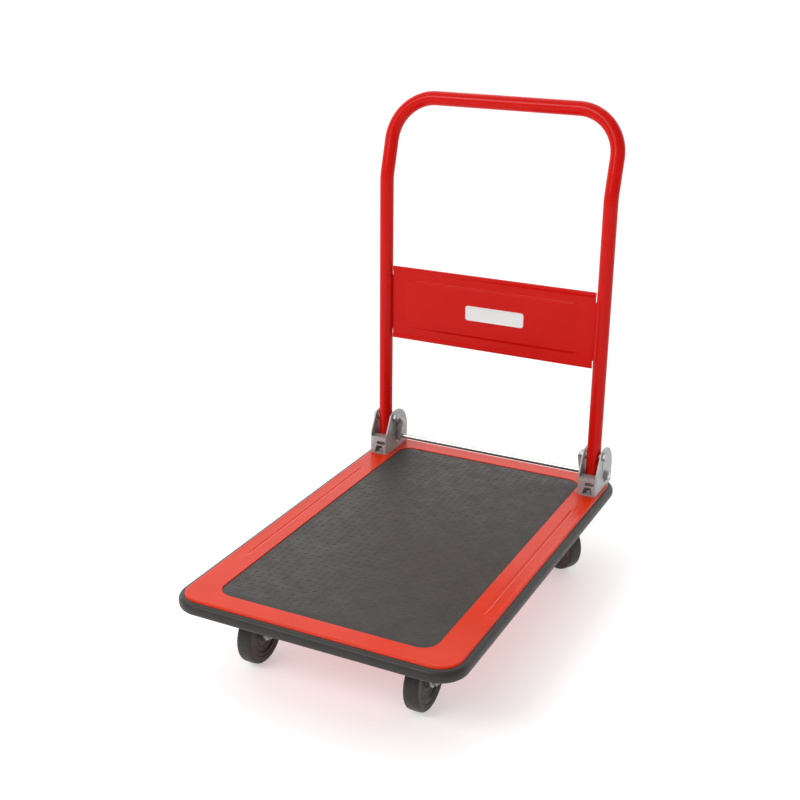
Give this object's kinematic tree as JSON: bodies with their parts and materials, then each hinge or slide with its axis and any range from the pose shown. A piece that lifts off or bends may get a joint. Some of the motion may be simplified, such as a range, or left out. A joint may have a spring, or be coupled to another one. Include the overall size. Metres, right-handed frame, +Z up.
{
  "type": "folding platform cart",
  "caption": "Folding platform cart: pressed steel deck with anti-slip mat and rubber bumper, fold-down tubular handle with cross panel, foot release bar, fixed front and swivel rear castors.",
  "frame": {"origin": "floor under the middle of the bumper's outline, bottom centre of the bounding box", "axes": "+Z up, +Y towards the handle end, +X to the right seen from the open end"},
  "size_m": [0.48, 0.74, 0.8205],
  "materials": {
    "red_powder_coat": "glossy red powder coat",
    "grey_rubber_mat": "matt with a fine raised anti-slip pattern",
    "black_rubber_bumper": "satin extruded rubber",
    "zinc_plate": "zinc plated pressed steel",
    "bright_zinc_fasteners": "bright zinc plate",
    "ball_steel": "polished",
    "spring_steel": "drawn wire",
    "blank_badge": "satin, blank",
    "black_tyre": "smooth black rubber",
    "black_plastic": "moulded, fine grain"
  },
  "bodies": {
    "deck": {"deck_tray": "red_powder_coat", "anti_slip_mat": "grey_rubber_mat", "edge_bumper": "black_rubber_bumper", "castor_mount_plate_front": "red_powder_coat", "castor_mount_plate_rear": "red_powder_coat", "deck_stiffener_left": "red_powder_coat", "deck_stiffener_right": "red_powder_coat", "hinge_bracket_left": "zinc_plate", "hinge_bracket_right": "zinc_plate", "bracket_bolts": "bright_zinc_fasteners", "bracket_nuts": "bright_zinc_fasteners", "pivot_bolts": "bright_zinc_fasteners", "pivot_nuts": "bright_zinc_fasteners", "pivot_spacers": "bright_zinc_fasteners", "link_guide_pins": "bright_zinc_fasteners", "release_springs": "spring_steel", "castor_studs": "bright_zinc_fasteners", "castor_nuts": "bright_zinc_fasteners", "front_left_fork": "zinc_plate", "front_right_fork": "zinc_plate", "rear_left_swivel_plate": "zinc_plate", "rear_right_swivel_plate": "zinc_plate", "rear_left_kingpin": "bright_zinc_fasteners", "rear_right_kingpin": "bright_zinc_fasteners", "front_left_axle_bush": "zinc_plate", "front_left_axle_bolt": "bright_zinc_fasteners", "front_left_axle_nut": "bright_zinc_fasteners", "front_right_axle_bush": "zinc_plate", "front_right_axle_bolt": "bright_zinc_fasteners", "front_right_axle_nut": "bright_zinc_fasteners"},
    "handle": {"handle_tube": "red_powder_coat", "pivot_sleeves": "zinc_plate", "tube_end_plugs": "black_plastic", "cross_panel": "red_powder_coat", "badge_plate": "blank_badge"},
    "release_bar": {"release_rod": "zinc_plate", "release_rod_nuts": "bright_zinc_fasteners", "release_link_left": "zinc_plate", "release_link_right": "zinc_plate"},
    "rear_left_swivel": {"rear_left_fork": "zinc_plate", "rear_left_swivel_balls": "ball_steel", "rear_left_axle_bush": "zinc_plate", "rear_left_axle_bolt": "bright_zinc_fasteners", "rear_left_axle_nut": "bright_zinc_fasteners"},
    "rear_right_swivel": {"rear_right_fork": "zinc_plate", "rear_right_swivel_balls": "ball_steel", "rear_right_axle_bush": "zinc_plate", "rear_right_axle_bolt": "bright_zinc_fasteners", "rear_right_axle_nut": "bright_zinc_fasteners"},
    "front_left_wheel": {"front_left_tyre": "black_tyre", "front_left_wheel_core": "black_plastic"},
    "front_right_wheel": {"front_right_tyre": "black_tyre", "front_right_wheel_core": "black_plastic"},
    "rear_left_wheel": {"rear_left_tyre": "black_tyre", "rear_left_wheel_core": "black_plastic"},
    "rear_right_wheel": {"rear_right_tyre": "black_tyre", "rear_right_wheel_core": "black_plastic"}
  },
  "joints": [
    {"name": "handle_fold", "type": "hinge", "parent": "deck", "child": "handle", "pos_m": [0, 0.299, 0.207], "axis": [1, 0, 0], "range_deg": [0, 90]},
    {"name": "release_press", "type": "slide", "parent": "deck", "child": "release_bar", "axis": [0, 0, -1], "range_m": [0, 0.009], "stiffness_N_per_m": 600, "springref_m": -0.009, "deforming": ["release_springs"]},
    {"name": "rear_left_swivel_turn", "type": "hinge", "parent": "deck", "child": "rear_left_swivel", "pos_m": [-0.143, 0.264, 0.119], "axis": [0, 0, 1], "continuous": true},
    {"name": "rear_right_swivel_turn", "type": "hinge", "parent": "deck", "child": "rear_right_swivel", "pos_m": [0.143, 0.264, 0.119], "axis": [0, 0, 1], "continuous": true},
    {"name": "front_left_wheel_spin", "type": "hinge", "parent": "deck", "child": "front_left_wheel", "pos_m": [-0.143, -0.264, 0.05], "axis": [1, 0, 0], "continuous": true},
    {"name": "front_right_wheel_spin", "type": "hinge", "parent": "deck", "child": "front_right_wheel", "pos_m": [0.143, -0.264, 0.05], "axis": [1, 0, 0], "continuous": true},
    {"name": "rear_left_wheel_spin", "type": "hinge", "parent": "rear_left_swivel", "child": "rear_left_wheel", "pos_m": [-0.11557, 0.24752, 0.05], "axis": [0.515, 0.8572, 0], "continuous": true},
    {"name": "rear_right_wheel_spin", "type": "hinge", "parent": "rear_right_swivel", "child": "rear_right_wheel", "pos_m": [0.17043, 0.24752, 0.05], "axis": [0.515, 0.8572, 0], "continuous": true}
  ]
}
